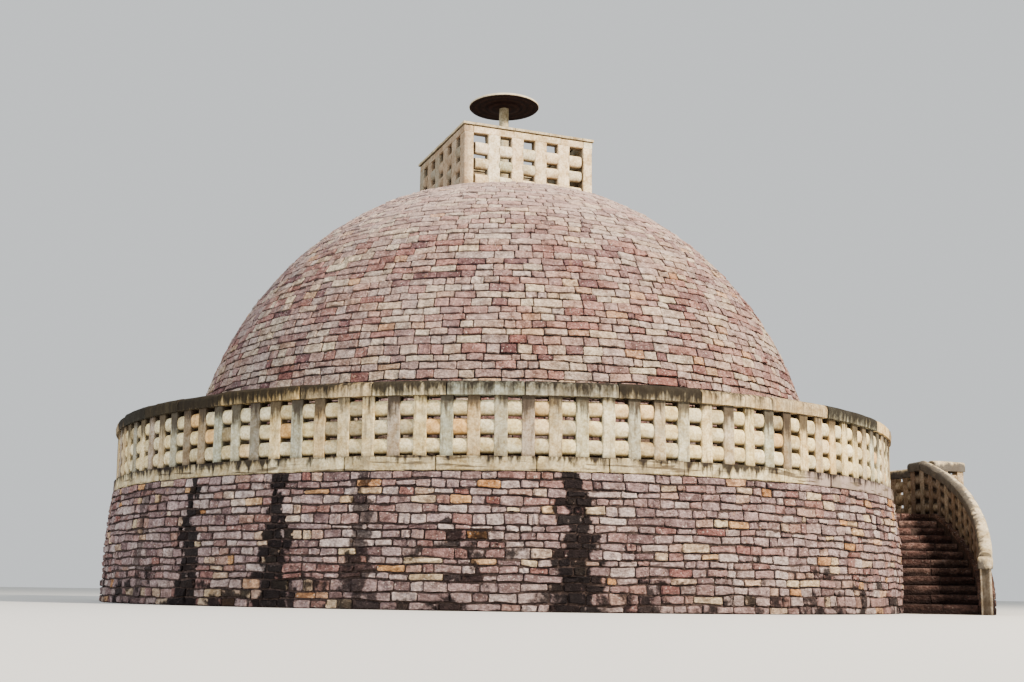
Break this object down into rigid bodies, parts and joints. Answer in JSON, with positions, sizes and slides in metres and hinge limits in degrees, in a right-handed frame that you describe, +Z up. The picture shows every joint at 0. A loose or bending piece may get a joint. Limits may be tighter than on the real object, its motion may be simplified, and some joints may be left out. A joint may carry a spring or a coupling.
{
  "type": "stupa",
  "caption": "Round masonry stupa with a leaning drum wall, a flat-topped dome, a stone post-and-rail fence, a square railing and umbrella on top, and a double stair up to a landing.",
  "frame": {"origin": "centre of the drum's round foot, on the ground", "axes": "+Z up, and -Y towards the landing between the two stairs"},
  "size_m": [15.0864, 17.1632, 10.365],
  "materials": {
    "drum_masonry": "matt",
    "dome_masonry": "matt",
    "railing_stone": "matt",
    "harmika_stone": "matt",
    "umbrella_stone": "matt",
    "stair_masonry": "matt"
  },
  "bodies": {
    "root": {"drum": "drum_masonry", "dome": "dome_masonry", "rim_kerb_1": "railing_stone", "rim_coping_1": "railing_stone", "rim_kerb_2": "railing_stone", "rim_coping_2": "railing_stone", "rim_kerb_3": "railing_stone", "rim_coping_3": "railing_stone", "rim_kerb_4": "railing_stone", "rim_coping_4": "railing_stone", "rim_kerb_5": "railing_stone", "rim_coping_5": "railing_stone", "rim_railing_1": "railing_stone", "rim_railing_2": "railing_stone", "rim_railing_3": "railing_stone", "rim_railing_4": "railing_stone", "rim_railing_5": "railing_stone", "harmika_front": "harmika_stone", "harmika_beam_front": "harmika_stone", "harmika_right": "harmika_stone", "harmika_beam_right": "harmika_stone", "harmika_back": "harmika_stone", "harmika_beam_back": "harmika_stone", "harmika_left": "harmika_stone", "harmika_beam_left": "harmika_stone", "umbrella_shaft": "umbrella_stone", "umbrella_disc": "umbrella_stone", "landing": "stair_masonry", "stair_left": "stair_masonry", "stair_coping_left": "railing_stone", "stair_rail_left": "railing_stone", "porch_rail_left": "railing_stone", "porch_coping_left": "railing_stone", "stair_right": "stair_masonry", "stair_coping_right": "railing_stone", "stair_rail_right": "railing_stone", "porch_rail_right": "railing_stone", "porch_coping_right": "railing_stone", "porch_rail_front": "railing_stone", "porch_coping_front": "railing_stone"}
  },
  "joints": []
}
